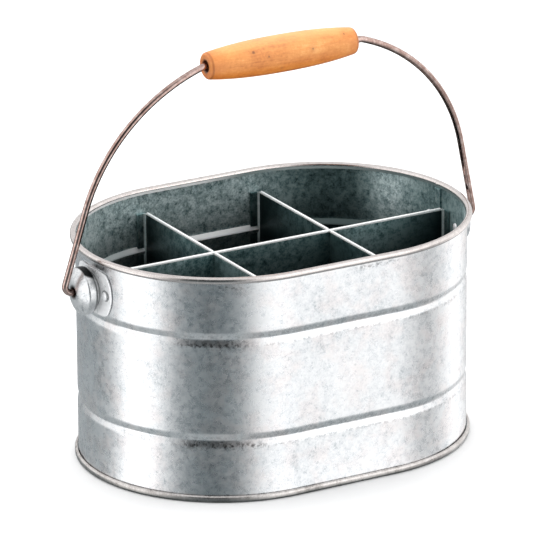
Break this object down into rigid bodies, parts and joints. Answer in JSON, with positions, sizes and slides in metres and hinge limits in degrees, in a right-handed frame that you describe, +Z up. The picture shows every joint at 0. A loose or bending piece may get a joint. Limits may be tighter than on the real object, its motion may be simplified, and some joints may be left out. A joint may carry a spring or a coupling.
{
  "type": "bottle carrier",
  "caption": "Oval galvanised steel bottle carrier with a rolled rim, upright dividers that make compartments, and a swinging wire bail with a turned wooden grip.",
  "frame": {"origin": "on the floor plane, under the middle of the body", "axes": "+X along the length, +Z up, -Y towards the front, where the bail leans in the picture"},
  "size_m": [0.2756, 0.176, 0.2513],
  "materials": {
    "galvanised_wall": "hot-dip galvanised, mottled spangle, satin",
    "galvanised_base": "hot-dip galvanised, mottled spangle, satin",
    "galvanised_divider": "hot-dip galvanised, mottled spangle, satin",
    "galvanised_ear": "galvanised pressing, satin",
    "bail_wire": "drawn steel wire, smooth",
    "grip_wood": "turned softwood, clear satin lacquer"
  },
  "bodies": {
    "carrier": {"wall_shell": "galvanised_wall", "rim_wire": "galvanised_wall", "base_pan": "galvanised_base", "long_divider": "galvanised_divider", "cross_divider_left": "galvanised_divider", "cross_divider_right": "galvanised_divider", "ear_left": "galvanised_ear", "ear_right": "galvanised_ear", "rivet_left_front": "galvanised_ear", "rivet_left_back": "galvanised_ear", "rivet_right_front": "galvanised_ear", "rivet_right_back": "galvanised_ear"},
    "bail": {"bail_wire": "bail_wire"},
    "grip": {"grip": "grip_wood"}
  },
  "joints": [
    {"name": "bail_swing", "type": "hinge", "parent": "carrier", "child": "bail", "pos_m": [0, 0, 0.1145], "axis": [1, 0, 0], "range_deg": [-136.1, 123.5]},
    {"name": "grip_spin", "type": "hinge", "parent": "bail", "child": "grip", "pos_m": [0, -0.01389, 0.24034], "axis": [1, 0, 0], "continuous": true}
  ]
}
